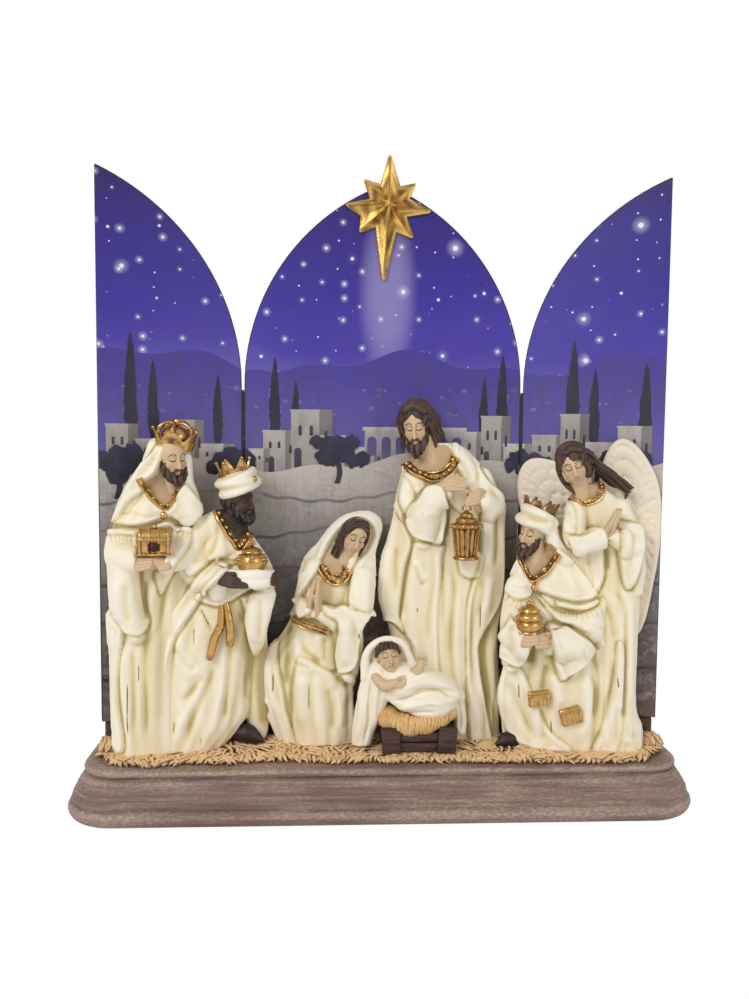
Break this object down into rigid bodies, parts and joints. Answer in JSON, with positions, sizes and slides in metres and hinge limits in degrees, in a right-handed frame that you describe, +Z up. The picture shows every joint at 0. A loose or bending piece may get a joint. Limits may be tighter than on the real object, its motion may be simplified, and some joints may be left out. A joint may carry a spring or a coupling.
{
  "type": "nativity scene with folding backdrop",
  "caption": "Painted resin nativity group on a moulded plinth, in front of a pointed-arch triptych backdrop whose hinged side panels fold flat behind it.",
  "frame": {"origin": "middle of the felt's underside, on the table", "axes": "+Z up, +X to the viewer's right, +Y away from the viewer"},
  "size_m": [0.257, 0.072, 0.2735],
  "materials": {
    "plinth_paint": "dry-brushed matt paint on cast resin",
    "felt": "short-pile felt",
    "straw_paint": "washed matt paint on cast resin",
    "printed_board": "satin print on fibreboard",
    "hinge_steel": "satin",
    "robe_paint": "washed matt paint on cast resin",
    "swaddle_paint": "matt paint on cast resin",
    "feather_paint": "matt paint on cast resin",
    "skin_paint": "matt paint on cast resin",
    "dark_skin_paint": "satin paint on cast resin",
    "hair_paint": "satin paint on cast resin",
    "gold_paint": "antiqued metallic paint on cast resin",
    "crib_paint": "matt paint on cast resin",
    "shoe_paint": "satin paint on cast resin"
  },
  "bodies": {
    "root": {"plinth": "plinth_paint", "base_felt": "felt", "straw_bed": "straw_paint", "backdrop_rail": "straw_paint", "center_panel": "printed_board", "star": "gold_paint", "hinge_fixed_leaves": "hinge_steel", "hinge_pins": "hinge_steel", "hinge_fixed_screws": "hinge_steel", "standing_king_robe": "robe_paint", "standing_king_head": "skin_paint", "standing_king_hands": "skin_paint", "standing_king_beard": "hair_paint", "standing_king_crown": "gold_paint", "standing_king_collar": "gold_paint", "standing_king_chest": "gold_paint", "bowing_king_robe": "robe_paint", "bowing_king_head": "dark_skin_paint", "bowing_king_hands": "dark_skin_paint", "bowing_king_beard": "hair_paint", "bowing_king_crown": "gold_paint", "bowing_king_trim": "gold_paint", "bowing_king_pot": "gold_paint", "mother_robe": "robe_paint", "mother_head": "skin_paint", "mother_hands": "skin_paint", "mother_hair": "hair_paint", "mother_trim": "gold_paint", "father_robe": "robe_paint", "father_head": "skin_paint", "father_hands": "skin_paint", "father_hair": "hair_paint", "father_collar": "gold_paint", "father_lantern": "gold_paint", "baby_swaddle": "swaddle_paint", "baby_body": "skin_paint", "baby_hair": "hair_paint", "manger_straw": "straw_paint", "manger_crib": "crib_paint", "kneeling_king_robe": "robe_paint", "kneeling_king_head": "skin_paint", "kneeling_king_hands": "skin_paint", "kneeling_king_beard": "hair_paint", "kneeling_king_crown": "gold_paint", "kneeling_king_trim": "gold_paint", "kneeling_king_jar": "gold_paint", "angel_robe": "robe_paint", "angel_head": "skin_paint", "angel_hands": "skin_paint", "angel_hair": "hair_paint", "angel_collar": "gold_paint", "angel_left_wing": "feather_paint", "angel_right_wing": "feather_paint", "king_shoes": "shoe_paint"},
    "left_wing": {"left_panel": "printed_board", "left_hinge_leaves": "hinge_steel", "left_hinge_screws": "hinge_steel"},
    "right_wing": {"right_panel": "printed_board", "right_hinge_leaves": "hinge_steel", "right_hinge_screws": "hinge_steel"}
  },
  "joints": [
    {"name": "left_wing_fold", "type": "hinge", "parent": "root", "child": "left_wing", "pos_m": [-0.0615, 0.0176, 0.1], "axis": [0, 0, -1], "range_deg": [0, 199]},
    {"name": "right_wing_fold", "type": "hinge", "parent": "root", "child": "right_wing", "pos_m": [0.0615, 0.0176, 0.1], "axis": [0, 0, 1], "range_deg": [0, 199]}
  ]
}
